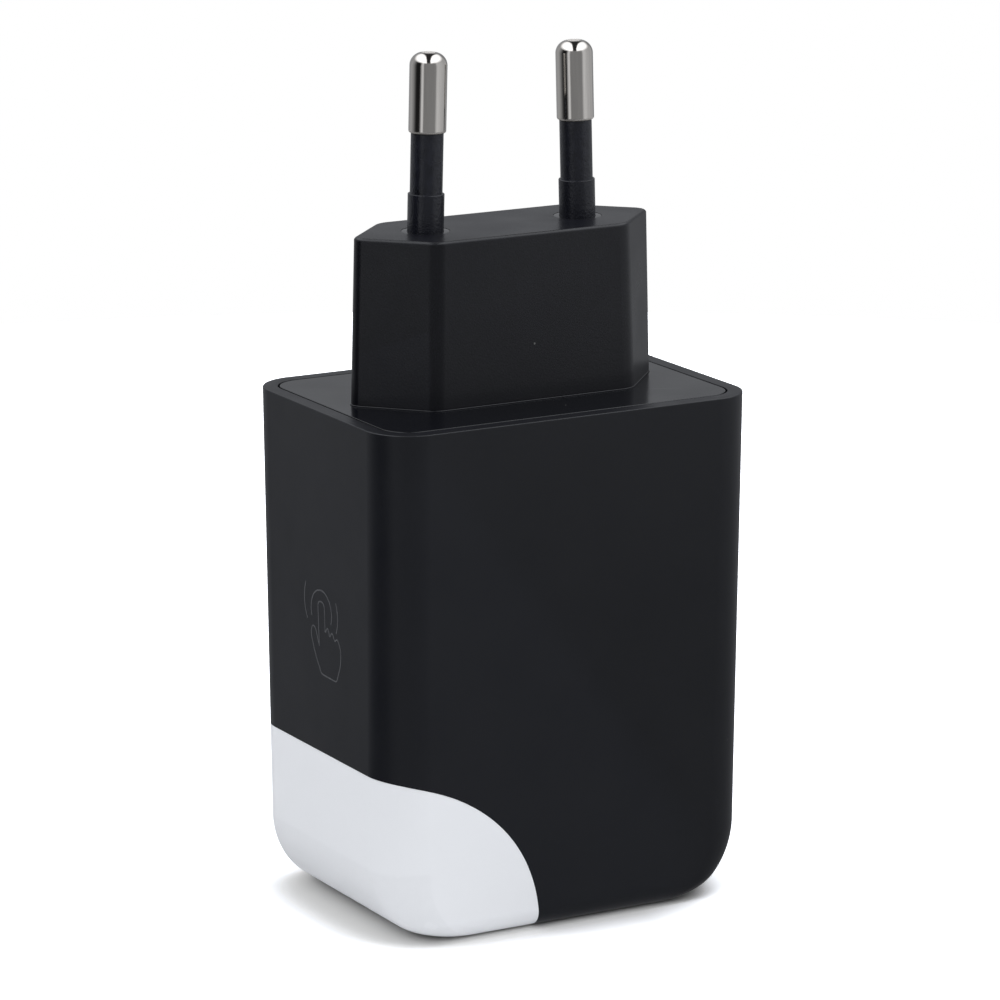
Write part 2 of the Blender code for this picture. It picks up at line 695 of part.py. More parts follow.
def make_transformer():
    """Two E-shaped core halves closed round a bobbin, with the winding on the bobbin."""
    centre_x, centre_z = TRANSFORMER_PLACE
    height = 14.6 * MM
    centre_y = PART_FACE - height / 2
    half_width, back, leg, middle = 8.0 * MM, 2.5 * MM, 2.5 * MM, 2.0 * MM
    depth = 4.5 * MM
    tip = GAP / 2
    outline = [
        (-half_width, height / 2),
        (-half_width, tip),
        (leg - half_width, tip),
        (leg - half_width, height / 2 - back),
        (-middle, height / 2 - back),
        (-middle, tip),
        (middle, tip),
        (middle, height / 2 - back),
        (half_width - leg, height / 2 - back),
        (half_width - leg, tip),
        (half_width, tip),
        (half_width, height / 2),
    ]
    for name, side in (("transformer_core_inner", 1), ("transformer_core_outer", -1)):
        shape = [(x, side * y) for x, y in outline]
        outline_solid(name, [shape], depth, FERRITE, centre=(centre_x, centre_y, centre_z))

    window = height / 2 - back - GAP
    tube_x, tube_z = middle + GAP + 0.5 * MM, depth / 2 + GAP + 0.5 * MM
    flange_x, flange_z = half_width - leg - GAP, 6.2 * MM
    flange = 0.7 * MM
    sections = [
        (-window, flange_x, flange_z),
        (flange - window, flange_x, flange_z),
        (flange - window, tube_x, tube_z),
        (window - flange, tube_x, tube_z),
        (window - flange, flange_x, flange_z),
        (window, flange_x, flange_z),
    ]
    rings = []
    for y, half_x, half_z in sections:
        rings.append([(x, y, -z) for x, z in rectangle(half_x, half_z)])
    bobbin = loft("transformer_bobbin", rings, BOBBIN_BLACK)
    bobbin.location = (centre_x, centre_y, centre_z)
    hole = box(
        "cut_bobbin_hole",
        (2 * (middle + GAP), 2 * height, depth + 2 * GAP),
        (centre_x, centre_y, centre_z),
    )
    add_boolean(bobbin, hole, "DIFFERENCE")

    outer = rounded_rectangle(flange_x - 0.2 * MM, flange_z - 0.4 * MM, 1.5 * MM, steps=3)
    inner = rounded_rectangle(tube_x + GAP, tube_z + GAP, 0.3 * MM, steps=1)
    outline_solid(
        "transformer_winding",
        [outer, inner],
        2 * (window - flange - GAP),
        TAPE_YELLOW,
        turn=(math.radians(90), 0.0, 0.0),
        centre=(centre_x, centre_y, centre_z),
    )


def make_mains_wires():
    """A stub of wire from beside each pin's tail to the mains board."""
    lean = math.atan((PIN_SPACING_BASE - PIN_SPACING_TIP) / 2 / PIN_LENGTH)
    z = BODY_HEIGHT + BLOCK_HEIGHT - PIN_TAIL + WIRE_SAG
    reach = PIN_SPACING_BASE / 2 + PIN_TAIL * math.tan(lean)
    start = PIN_CORE_RADIUS + GAP
    steps = 7
    for side, word, material in ((-1, "left", WIRE_BROWN), (1, "right", WIRE_BLUE)):
        points = []
        for step in range(steps + 1):
            share = step / steps
            y = start + share * (PART_FACE - start)
            points.append((side * reach, y, z - WIRE_SAG * math.sin(math.pi * share)))
        wire(f"mains_wire_{word}", points, WIRE_RADIUS, material)


def make_lamp():
    """The lamp board with its LEDs, and the white reflector round them."""
    board_x, board_y, board_z = LAMP_BOARD_SIZE
    led_face = LAMP_BOARD_X - board_x / 2 - GAP
    box("lamp_board", LAMP_BOARD_SIZE, (LAMP_BOARD_X, 0.0, LAMP_Z), BOARD_WHITE)
    for number, offset in enumerate(LAMP_LED_OFFSETS, start=1):
        place = (led_face - LAMP_LED_SIZE[0] / 2, offset, LAMP_Z)
        box(f"lamp_led_{number}", LAMP_LED_SIZE, place, LED_YELLOW, bevel=0.2 * MM)
    outlines = []
    for inset in (0.0, REFLECTOR_WALL):
        half_y, half_z = board_y / 2 - inset, board_z / 2 - inset
        outline = rounded_rectangle(half_z, half_y, REFLECTOR_CORNER - inset, steps=3)
        outlines.append(outline)
    outline_solid(
        "light_reflector",
        outlines,
        REFLECTOR_DEPTH,
        WHITE_PLASTIC,
        turn=(0.0, math.radians(90), 0.0),
        centre=(led_face - REFLECTOR_DEPTH / 2, 0.0, LAMP_Z),
    )


def make_touch_sensor():
    """A small board with its chip, and the spring that presses on the casing's inner face."""
    board_x, board_y = TOUCH_BOARD_PLACE
    half_board = TOUCH_BOARD_SIZE[0] / 2
    box("touch_board", TOUCH_BOARD_SIZE, (board_x, board_y, TOUCH_Z), BOARD_GREEN)
    chip_x = board_x + half_board + GAP + TOUCH_CHIP_SIZE[0] / 2
    box(
        "touch_sensor_chip",
        TOUCH_CHIP_SIZE,
        (chip_x, TOUCH_CHIP_Y, TOUCH_Z),
        CHIP_BLACK,
        bevel=0.12 * MM,
    )
    start_x = GAP + SPRING_WIRE - body_section(TOUCH_Z, WALL)[0]
    length = board_x - half_board - GAP - SPRING_WIRE - start_x
    steps = 10 * SPRING_TURNS
    points = []
    for step in range(steps + 1):
        angle = 2 * math.pi * SPRING_TURNS * step / steps
        x = start_x + length * step / steps
        y = SPRING_Y + SPRING_RADIUS * math.cos(angle)
        points.append((x, y, TOUCH_Z + SPRING_RADIUS * math.sin(angle)))
    wire("touch_spring", points, SPRING_WIRE, STEEL)


clear_scene()
PARTS = new_collection("usb_wall_charger")
CUTTERS = new_collection("cutters")

BLACK_PLASTIC = make_material("casing_black", (0.016, 0.017, 0.020), 0.42)
BLACK_COVER = make_material("cover_black", (0.018, 0.019, 0.022), 0.38)
BLACK_BLOCK = make_material("block_black", (0.017, 0.018, 0.020), 0.45)
BLACK_SLEEVE = make_material("sleeve_black", (0.015, 0.016, 0.018), 0.40)
WHITE_DIFFUSER = make_material("diffuser_white", (0.80, 0.81, 0.83), 0.35)
WHITE_PLASTIC = make_material("reflector_white", (0.85, 0.85, 0.83), 0.45)
NICKEL = make_material("nickel", (0.62, 0.58, 0.53), 0.22, 1.0)
STEEL = make_material("steel", (0.60, 0.60, 0.60), 0.30, 1.0)
GOLD = make_material("gold_contact", (0.80, 0.60, 0.25), 0.30, 1.0)
PORT_PLASTIC = make_material("port_plastic", (0.03, 0.03, 0.03), 0.50)
BOARD_GREEN = make_material("board_green", (0.03, 0.16, 0.06), 0.45)
BOARD_WHITE = make_material("board_white", (0.75, 0.75, 0.73), 0.45)
CHIP_BLACK = make_material("chip_black", (0.025, 0.025, 0.025), 0.55)
CAN_BLUE = make_material("can_blue", (0.03, 0.05, 0.14), 0.35)
CAN_SILVER = make_material("can_silver", (0.65, 0.65, 0.66), 0.30, 1.0)
DISC_BLUE = make_material("disc_blue", (0.05, 0.17, 0.45), 0.40)
FUSE_BROWN = make_material("fuse_brown", (0.08, 0.05, 0.035), 0.45)
FERRITE = make_material("ferrite", (0.05, 0.05, 0.05), 0.60)
BOBBIN_BLACK = make_material("bobbin_black", (0.03, 0.03, 0.03), 0.50)
TAPE_YELLOW = make_material("tape_yellow", (0.75, 0.55, 0.08), 0.40)
CLEAR_FILM = make_material("clear_film", (0.55, 0.57, 0.55), 0.30)
LED_YELLOW = make_material("led_yellow", (0.85, 0.75, 0.35), 0.40)
WIRE_BROWN = make_material("wire_brown", (0.20, 0.08, 0.04), 0.45)
WIRE_BLUE = make_material("wire_blue", (0.04, 0.10, 0.35), 0.45)

PIN_AXES = make_pin_axes()
make_casing()
make_plug_block()
make_pins()
make_usb_ports()
make_boards()
make_mains_parts()
make_mains_wires()
make_lamp()
make_touch_sensor()
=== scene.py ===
"""Looks for the USB wall charger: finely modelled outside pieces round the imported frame,
procedural materials, a plain pale studio and the camera.

The frame stands on its end face at z = 0 with the mains pins up, X along the wide sides,
Y through the thickness. Everything is in metres.
"""

import json
import math

import bmesh
import bpy
from mathutils import Matrix, Vector


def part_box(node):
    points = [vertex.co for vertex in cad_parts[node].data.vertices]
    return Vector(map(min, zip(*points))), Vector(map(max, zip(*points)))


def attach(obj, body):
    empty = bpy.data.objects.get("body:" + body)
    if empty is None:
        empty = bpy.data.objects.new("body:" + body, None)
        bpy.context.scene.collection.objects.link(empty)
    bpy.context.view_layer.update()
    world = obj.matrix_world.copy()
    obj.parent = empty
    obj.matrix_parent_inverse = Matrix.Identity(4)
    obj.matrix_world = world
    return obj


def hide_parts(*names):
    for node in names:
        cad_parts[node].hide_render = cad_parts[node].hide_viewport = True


MM = 0.001

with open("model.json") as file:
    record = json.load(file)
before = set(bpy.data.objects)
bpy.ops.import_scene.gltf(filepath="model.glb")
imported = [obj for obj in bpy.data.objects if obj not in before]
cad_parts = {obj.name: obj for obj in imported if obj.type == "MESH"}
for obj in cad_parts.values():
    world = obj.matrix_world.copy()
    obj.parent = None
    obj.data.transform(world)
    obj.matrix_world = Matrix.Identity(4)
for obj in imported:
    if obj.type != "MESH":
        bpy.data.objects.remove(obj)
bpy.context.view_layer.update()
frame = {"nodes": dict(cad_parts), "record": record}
NODES = frame["nodes"]

# Sizes read off the frame
CASING_LOW, CASING_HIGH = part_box("housing_shell")
BODY_WIDTH = CASING_HIGH.x - CASING_LOW.x
BODY_DEPTH = CASING_HIGH.y - CASING_LOW.y
BODY_HEIGHT = CASING_HIGH.z
COVER_THICKNESS = BODY_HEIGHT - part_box("mains_cover")[0].z
BLOCK_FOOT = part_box("plug_body")[0].z
BLOCK_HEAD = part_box("plug_body")[1].z
DIFFUSER_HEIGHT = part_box("light_diffuser")[1].z

# Casing
BODY_CORNER = 4.9 * MM
DRAFT_X = 0.35 * MM
DRAFT_Y = 0.8 * MM
END_CORNER = 4.3 * MM
END_ROUND_X = 7.5 * MM
END_ROUND_Z = 8.3 * MM
END_EDGE = 2.3 * MM
WALL = 2.2 * MM
RIM = 1.6 * MM
RIM_EDGE = 0.09 * MM
GROOVE = 0.20 * MM
GROOVE_EDGE = 0.05 * MM
COVER_SEAT_GAP = 0.1 * MM
COVER_EDGE = 0.07 * MM
COVER_WINDOW_GAP = 0.05 * MM
CORNER_STEPS = 24
END_STEPS, EDGE_STEPS = 26, 14
LEAST_EDGE = 0.3 * MM
LEAST_LEVEL_STEP = 0.008 * MM
# A ring this far from a rounded edge keeps the edge's wear and painted highlight from spreading over
# the faces
SUPPORT = 0.12 * MM

# The diffuser's edge on the wide sides: a Bezier curve in X and Z
DIFFUSER_EDGE = (
    (-22.15 * MM, 18.2 * MM),
    (-11.7 * MM, 16.7 * MM),
    (-4.0 * MM, 10.2 * MM),
    (-4.0 * MM, 0.0),
)
DIFFUSER_WALL = 3.3 * MM
SEAM = 0.03 * MM

# Plug block
BLOCK_BASE = (18.3 * MM, 11.8 * MM, 7.05 * MM)
BLOCK_TOP = (17.9 * MM, 11.35 * MM, 6.6 * MM)
BLOCK_POINT_RADIUS = 1.2 * MM
BLOCK_SIDE_RADIUS = 2.5 * MM
# How far the section's corners move along X when its walls move out by 1
BLOCK_POINT_SHIFT, BLOCK_FLAT_SHIFT = 1.2, 0.4
BLOCK_TOP_EDGE = 0.35 * MM
BEAD_RADIUS = 0.09 * MM
BEAD_OUT = 0.06 * MM
BEAD_HEIGHT = 0.03 * MM

# Mains pins: distances along each pin, from the block's top face
PIN_RADIUS = 1.97 * MM
PIN_TIP_FLAT = 0.6 * MM
PIN_METAL = 8.35 * MM
PIN_FOOT_EDGE = 0.22 * MM
PIN_CORE_RADIUS = 1.3 * MM
PIN_TAIL_EDGE = 0.2 * MM
SLEEVE_RADIUS = 1.71 * MM
SLEEVE_EDGE = 0.06 * MM
SLEEVE_GAP = 0.02 * MM
COLLAR_RADIUS = 1.92 * MM
COLLAR_LENGTH = 3.95 * MM
SLEEVE_DEPTH = 4.0 * MM
BOSS_RADIUS = 2.55 * MM
BOSS_DEPTH = 0.05 * MM
BOSS_THICKNESS = 0.2 * MM
BOSS_EDGE = 0.05 * MM
BOSS_SEAT_GAP = 0.015 * MM
BOSS_SEAT_FLOOR = 0.25 * MM
BOSS_BORE_GAP = 0.03 * MM
BORE_GAP = 0.04 * MM
BORE_FLOOR = 0.3 * MM
AXIS_RADIUS = 0.001 * MM

# USB receptacles
MOUTH_GAP = 0.12 * MM
MOUTH_FLARE = 0.45 * MM
MOUTH_CORNER = 0.7 * MM
SHELL_METAL = 0.3 * MM
SHELL_CORNER = 0.6 * MM
SPRING_ASIDE = 3.1 * MM
SPRING_HALF_WIDTH = 0.9 * MM
SPRING_START = 2.2 * MM
SPRING_END = 7.6 * MM
SPRING_METAL = 0.2 * MM
SPRING_HUMP = 0.55 * MM
SPRING_LIFT = 0.02 * MM

# Touch symbol on the -X side: its lines' width and relief, the hand's corners along -Y and
# up Z in millimetres with their radii, and the ripples' centre, radius and two angles
SYMBOL_WIDTH = 0.145 * MM
SYMBOL_RELIEF = 0.012 * MM
HAND = (
    (-0.17, 34.60, 0.75),
    (1.27, 34.60, 0.75),
    (1.42, 31.45, 0.15),
    (1.96, 32.15, 0.35),
    (2.45, 31.20, 0.12),
    (2.98, 31.85, 0.35),
    (3.55, 31.00, 0.12),
    (4.15, 31.40, 0.40),
    (4.95, 30.30, 0.90),
    (4.80, 28.60, 1.20),
    (3.85, 26.65, 0.35),
    (0.50, 26.75, 0.35),
    (-0.75, 28.40, 1.00),
    (-1.85, 30.70, 0.50),
    (-1.50, 31.65, 0.45),
    (-0.80, 31.55, 0.45),
    (0.05, 29.70, 0.12),
)
RIPPLES = {
    "near": ((0.60 * MM, 33.5 * MM), 2.32 * MM, -23, 201, 32),
    "far_left": ((0.95 * MM, 34.35 * MM), 4.15 * MM, 155, 212, 14),
    "far_right": ((0.60 * MM, 33.5 * MM), 3.67 * MM, -26, 27, 14),
}

# Camera
CAMERA_TARGET = Vector((-0.20, 0.105, 42.79)) * MM
CAMERA_AZIMUTH = -29.367
CAMERA_ELEVATION = 13.646
CAMERA_DISTANCE = 544.55 * MM
CAMERA_SENSOR = 36.0
CAMERA_LENS = 184.592


# ---------------------------------------------------------------- shapes


def rounded_rectangle(half_x, half_y, radius, steps):
    """An anticlockwise outline with an arc of this many steps at each corner."""
    points = []
    for corner, (side_x, side_y) in enumerate(((1, 1), (-1, 1), (-1, -1), (1, -1))):
        for step in range(steps + 1):
            angle = math.radians(90 * corner + 90 * step / steps)
            x = side_x * (half_x - radius) + radius * math.cos(angle)
            y = side_y * (half_y - radius) + radius * math.sin(angle)
            points.append((x, y))
    return points


def rounded_polygon(corners, radii, steps):
    """Replaces each corner of a convex outline, listed anticlockwise, by an arc."""
    points = []
    for i, corner in enumerate(corners):
        here = Vector(corner)
        back = (Vector(corners[i - 1]) - here).normalized()
        ahead = (Vector(corners[(i + 1) % len(corners)]) - here).normalized()
        half_angle = back.angle(ahead) / 2
        centre = here + (back + ahead).normalized() * (radii[i] / math.sin(half_angle))
        start = here + back * (radii[i] / math.tan(half_angle)) - centre
        turn = math.pi - 2 * half_angle
        for step in range(steps + 1):
            angle = turn * step / steps
            x = start.x * math.cos(angle) - start.y * math.sin(angle)
            y = start.x * math.sin(angle) + start.y * math.cos(angle)
            points.append((centre.x + x, centre.y + y))
    return points


def quarter_inset(height, rise, reach):
    """How far a quarter-round of this rise and reach stands back at a height above its start."""
    if height >= rise:
        return 0.0
    return reach * (1 - math.sqrt(1 - ((rise - height) / rise) ** 2))


def body_section(z, inset):
    """Half width, half depth and corner radius of the casing, or of a surface inside it."""
    above = z - inset
    slope = 1 - z / BODY_HEIGHT
    rise = END_ROUND_Z - inset
    edge = max(END_EDGE - inset, LEAST_EDGE)
    half_x = BODY_WIDTH / 2 - inset - DRAFT_X * slope
    half_x -= quarter_inset(above, rise, END_ROUND_X - inset)
    half_y = BODY_DEPTH / 2 - inset - DRAFT_Y * slope - quarter_inset(above, edge, edge)
    share = min(above / rise, 1.0)
    radius = END_CORNER + (BODY_CORNER - END_CORNER) * share - inset
    return half_x, half_y, radius


def body_levels(inset, top, end_steps, edge_steps):
    """Heights of the casing's sections: close together where its end is rounded."""
    rise = END_ROUND_Z - inset
    edge = max(END_EDGE - inset, LEAST_EDGE)
    levels = {inset, top}
    for step in range(1, end_steps + 1):
        levels.add(inset + rise * (1 - math.cos(math.radians(90 * step / end_steps))))
    for step in range(1, edge_steps + 1):
        levels.add(inset + edge * (1 - math.cos(math.radians(90 * step / edge_steps))))
    kept = []
    for level in sorted(levels):
        if level <= top and (not kept or level - kept[-1] > LEAST_LEVEL_STEP):
            kept.append(level)
    return kept


def body_ring(z, inset, extra=0.0):
    half_x, half_y, radius = body_section(z, inset)
    outline = rounded_rectangle(half_x - extra, half_y - extra, radius - extra, CORNER_STEPS)
    return [(x, y, z) for x, y in outline]


def arc(centre, radius, start, end, steps):
    """Points on an arc, angles in degrees."""
    points = []
    for step in range(steps + 1):
        angle = math.radians(start + (end - start) * step / steps)
        points.append((centre[0] + radius * math.cos(angle), centre[1] + radius * math.sin(angle)))
    return points


def bezier(controls, steps):
    a, b, c, d = (Vector(point) for point in controls)
    points = []
    for step in range(steps + 1):
        t = step / steps
        s = 1 - t
        points.append(a * s**3 + b * 3 * t * s**2 + c * 3 * t**2 * s + d * t**3)
    return points


def diffuser_edge(offset, steps=48):
    """The diffuser's edge in X and Z, moved away from the diffuser by an offset."""
    line = bezier(DIFFUSER_EDGE, steps)
    points = []
    for i, point in enumerate(line):
        along = (line[min(i + 1, steps)] - line[max(i - 1, 0)]).normalized()
        points.append(point + Vector((-along.y, along.x)) * offset)
    return points


def block_outline(size, offset, steps=12):
    """The plug block's six-sided section: points to the narrow sides, flats to the wide ones."""
    reach, flat, half_y = size
    reach += offset * BLOCK_POINT_SHIFT
    flat += offset * BLOCK_FLAT_SHIFT
    half_y += offset
    corners = [
        (reach, 0.0),
        (flat, half_y),
        (-flat, half_y),
        (-reach, 0.0),
        (-flat, -half_y),
        (flat, -half_y),
    ]
    side, point = BLOCK_SIDE_RADIUS, BLOCK_POINT_RADIUS
    return rounded_polygon(corners, [point, side, side, point, side, side], steps)


# ---------------------------------------------------------------- meshes


def link(name, mesh):
    made = bpy.data.objects.new(name, mesh)
    bpy.context.scene.collection.objects.link(made)
    return made


def mesh_from(name, shape):
    bmesh.ops.recalc_face_normals(shape, faces=shape.faces)
    mesh = bpy.data.meshes.new(name)
    shape.to_mesh(mesh)
    shape.free()
    return mesh


def loft(name, rings, closed=False):
    """Quads between rings with equal numbers of points; the ends are capped, or joined if closed."""
    shape = bmesh.new()
    rows = [[shape.verts.new(point) for point in ring] for ring in rings]
    count = len(rings[0])
    pairs = list(zip(rows, rows[1:]))
    if closed:
        pairs.append((rows[-1], rows[0]))
    for lower, upper in pairs:
        for i in range(count):
            j = (i + 1) % count
            shape.faces.new((lower[i], lower[j], upper[j], upper[i]))
    if not closed:
        shape.faces.new(list(reversed(rows[0])))
        shape.faces.new(rows[-1])
    return link(name, mesh_from(name, shape))


def lathe(name, profile, axis, segments=72, closed=False):
    """Turns a profile of radius and height about an axis given as a matrix."""
    rings = []
    for radius, height in profile:
        ring = []
        for step in range(segments):
            angle = 2 * math.pi * step / segments
            place = Vector((radius * math.cos(angle), radius * math.sin(angle), height))
            ring.append(axis @ place)
        rings.append(ring)
    return loft(name, rings, closed)


def plate(name, outlines, low, high, edge, steps=4):
    """A flat plate between two heights whose outlines, the first outside and the rest holes, are
    already drawn for its rounded edges: the curve's bevel adds the edge radius to each."""
    curve = bpy.data.curves.new(name, "CURVE")
    curve.dimensions = "2D"
    curve.fill_mode = "BOTH"
    curve.extrude = (high - low) / 2 - edge
    curve.bevel_depth = edge
    curve.bevel_resolution = steps
    for outline in outlines:
        spline = curve.splines.new("POLY")
        spline.points.add(len(outline) - 1)
        for point, (x, y) in zip(spline.points, outline):
            point.co = (x, y, 0.0, 1.0)
        spline.use_cyclic_u = True
    guide = bpy.data.objects.new(name + "_guide", curve)
    bpy.context.scene.collection.objects.link(guide)
    bpy.context.view_layer.update()
    graph = bpy.context.evaluated_depsgraph_get()
    mesh = bpy.data.meshes.new_from_object(guide.evaluated_get(graph))
    bpy.data.objects.remove(guide)
    shape = bmesh.new()
    shape.from_mesh(mesh)
    bmesh.ops.remove_doubles(shape, verts=shape.verts, dist=0.0002 * MM)
    for vertex in shape.verts:
        vertex.co.z += (low + high) / 2
    made = link(name, mesh_from(name, shape))
    bpy.data.meshes.remove(mesh)
    return made


def apply_modifiers(made):
    bpy.context.view_layer.update()
    graph = bpy.context.evaluated_depsgraph_get()
    mesh = bpy.data.meshes.new_from_object(made.evaluated_get(graph))
    made.modifiers.clear()
    made.data = mesh


def cut(made, other, operation="DIFFERENCE"):
    """Applies a Boolean and removes the other mesh."""
    boolean = made.modifiers.new("boolean", "BOOLEAN")
    boolean.operation = operation
    boolean.solver = "EXACT"
    boolean.object = other
    apply_modifiers(made)
    bpy.data.objects.remove(other)


def finish_piece(made, material, replaces=(), sharp=32):
    """Smooth shading, the material, and the piece's place in the frame."""
    made.data.shade_smooth()
    made.data.set_sharp_from_angle(angle=math.radians(sharp))
    weighted = made.modifiers.new("normals", "WEIGHTED_NORMAL")
    weighted.keep_sharp = True
    weighted.weight = 80
    apply_modifiers(made)
    if not made.data.materials:
        made.data.materials.append(material)
    else:
        made.data.materials[0] = material
    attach(made, "root")
    if replaces:
        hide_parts(*replaces)
    return made


def diffuser_region(name, offset):
    """A prism through the whole thickness on the diffuser's side of its edge."""
    reach = 3 * MM
    edge = diffuser_edge(offset)
    outline = [(edge[0].x - reach, edge[0].y)]
    outline += [(point.x, point.y) for point in edge]
    outline += [(edge[-1].x, -reach), (edge[0].x - reach, -reach)]
    rings = [[(x, y, z) for x, z in outline] for y in (-BODY_DEPTH, BODY_DEPTH)]
    return loft(name, rings)


# ---------------------------------------------------------------- materials


def add_node(tree, kind, inputs=None, **settings):
    """Adds a shader node; an input is a value or another node's output."""
    made = tree.nodes.new(kind)
    for name, value in settings.items():
        setattr(made, name, value)
    for socket, value in (inputs or {}).items():
        if isinstance(value, bpy.types.NodeSocket):
            tree.links.new(value, made.inputs[socket])
        else:
            made.inputs[socket].default_value = value
    return made


def noise_of(tree, place, size, detail=3.0, roughness=0.55):
    """Noise with features of about this size, from 0 to 1."""
    inputs = {"Vector": place, "Scale": 1 / size, "Detail": detail, "Roughness": roughness}
    return add_node(tree, "ShaderNodeTexNoise", inputs).outputs[0]


def remap(tree, value, from_min, from_max, to_min, to_max):
    inputs = {
        "Value": value,
        "From Min": from_min,
        "From Max": from_max,
        "To Min": to_min,
        "To Max": to_max,
    }
    return add_node(tree, "ShaderNodeMapRange", inputs).outputs[0]


def blend_colours(tree, share, first, second):
    inputs = {"Fac": share, "Color1": first, "Color2": second}
    return add_node(tree, "ShaderNodeMixRGB", inputs).outputs[0]


def math_node(tree, operation, *values):
    return add_node(tree, "ShaderNodeMath", dict(enumerate(values)), operation=operation).outputs[0]


def tint(colour, factor):
    return (*(min(channel * factor, 1.0) for channel in colour), 1.0)


# Sizes of the colour's variation, the span of sharpness over which the edge wear and painted
# highlight set in, and the specks: the distance between them, the radii where one starts and is
# full, as shares of that distance
BROAD_SIZE = 9 * MM
FINE_SIZE = 0.9 * MM
WEAR_AND_HIGHLIGHT_SPAN = 0.010
SPECK_SPACING = 1.6 * MM
SPECK_START, SPECK_FULL = 0.075, 0.05
SPECK_COLOUR = (0.16, 0.16, 0.15, 1.0)
SPECK_STRENGTH = 0.8


def surface(
    name,
    colour,
    roughness,
    metallic=0.0,
    grain=(0.12, 0.001),
    mottle=0.06,
    patches=0.04,
    edge_wear_and_highlight=1.35,
    sharp_edge_from=0.509,
    worn_roughness=None,
    dust=0.0,
    stretch=(1.0, 1.0, 1.0),
    **sockets,
):
    """A moulded, plated or coated surface.

    grain is the size and depth of its fine relief in millimetres, mottle the share by which
    its colour varies and patches the amount its roughness varies. edge_wear_and_highlight is
    the lightening along its sharp edges, partly wear and partly a painted highlight,
    sharp_edge_from how sharp such an edge has to be and worn_roughness the edges' own
    roughness. dust is the share of cells with a tiny light speck, and stretch draws the
    grain out.
    """
    material = bpy.data.materials.new(name)
    material.use_nodes = True
    tree = material.node_tree
    shader = tree.nodes["Principled BSDF"]
    place = add_node(tree, "ShaderNodeTexCoord").outputs["Object"]
    drawn = add_node(tree, "ShaderNodeMapping", {"Vector": place, "Scale": stretch}).outputs[0]

    broad = noise_of(tree, place, BROAD_SIZE, detail=2.0)
    fine = noise_of(tree, drawn, FINE_SIZE, detail=4.0)
    low, high = tint(colour, 1 - mottle), tint(colour, 1 + mottle)
    colour_socket = blend_colours(tree, broad, low, high)
    fine_share = remap(tree, fine, 0.35, 0.65, 0.0, 0.9)
    colour_socket = blend_colours(tree, fine_share, colour_socket, high)

    pointiness = add_node(tree, "ShaderNodeNewGeometry").outputs["Pointiness"]
    # Along sharp edges the colour turns lighter: partly wear, partly a painted highlight
    wear_and_highlight_share = remap(tree, pointiness, sharp_edge_from, sharp_edge_from + WEAR_AND_HIGHLIGHT_SPAN, 0.0, 1.0)
    colour_socket = blend_colours(tree, wear_and_highlight_share, colour_socket, tint(colour, edge_wear_and_highlight))
    if dust:
        specks = add_node(
            tree,
            "ShaderNodeTexVoronoi",
            {"Vector": place, "Scale": 1 / SPECK_SPACING, "Randomness": 1.0},
        )
        near = remap(tree, specks.outputs["Distance"], SPECK_START, SPECK_FULL, 0.0, 1.0)
        chosen = add_node(tree, "ShaderNodeSeparateColor", {"Color": specks.outputs["Color"]})
        some = remap(tree, chosen.outputs[0], 1 - dust, 1 - dust + 0.01, 0.0, SPECK_STRENGTH)
        speck_share = math_node(tree, "MULTIPLY", near, some)
        colour_socket = blend_colours(tree, speck_share, colour_socket, SPECK_COLOUR)
    tree.links.new(colour_socket, shader.inputs["Base Color"])

    rough = remap(tree, broad, 0.3, 0.7, roughness - patches, roughness + patches)
    if worn_roughness is not None:
        rough = remap(tree, wear_and_highlight_share, 0.0, 1.0, rough, worn_roughness)
    tree.links.new(rough, shader.inputs["Roughness"])

    size, depth = grain
    relief = noise_of(tree, drawn, size * MM, detail=2.0, roughness=0.6)
    bump = add_node(
        tree, "ShaderNodeBump", {"Height": relief, "Strength": 1.0, "Distance": depth * MM}
    )
    tree.links.new(bump.outputs[0], shader.inputs["Normal"])

    shader.inputs["Metallic"].default_value = metallic
    for socket, value in sockets.items():
        shader.inputs[socket.replace("_", " ")].default_value = value
    return material


# Along sharp edges these finishes turn lighter: partly wear, partly a painted highlight, as on rims
CASING = surface(
    "casing_black",
    (0.0043, 0.0048, 0.0072),
    0.38,
    grain=(0.10, 0.0012),
    dust=0.004,
    edge_wear_and_highlight=1.4,
    sharp_edge_from=0.516,
)
COVER = surface(
    "cover_black", (0.0026, 0.0030, 0.0048), 0.20, grain=(0.16, 0.0028), dust=0.04, edge_wear_and_highlight=1.3
)
BLOCK = surface(
    "block_black",
    (0.0030, 0.0032, 0.0052),
    0.31,
    grain=(0.18, 0.0110),
    mottle=0.25,
    dust=0.03,
    edge_wear_and_highlight=1.6,
    sharp_edge_from=0.514,
    Specular_IOR_Level=0.42,
)
BOSS = surface(
    "boss_black",
    (0.0045, 0.0048, 0.0065),
    0.08,
    grain=(0.30, 0.0006),
    Specular_IOR_Level=0.9,
)
SLEEVE = surface(
    "sleeve_black",
    (0.0062, 0.0067, 0.0104),
    0.27,
    grain=(0.26, 0.0450),
    mottle=0.85,
    patches=0.08,
    sharp_edge_from=0.516,
    dust=0.02,
)
DIFFUSER = surface(
    "diffuser_white",
    (0.895, 0.897, 0.900),
    0.50,
    grain=(0.15, 0.0010),
    mottle=0.01,
    patches=0.03,
    edge_wear_and_highlight=1.03,
)
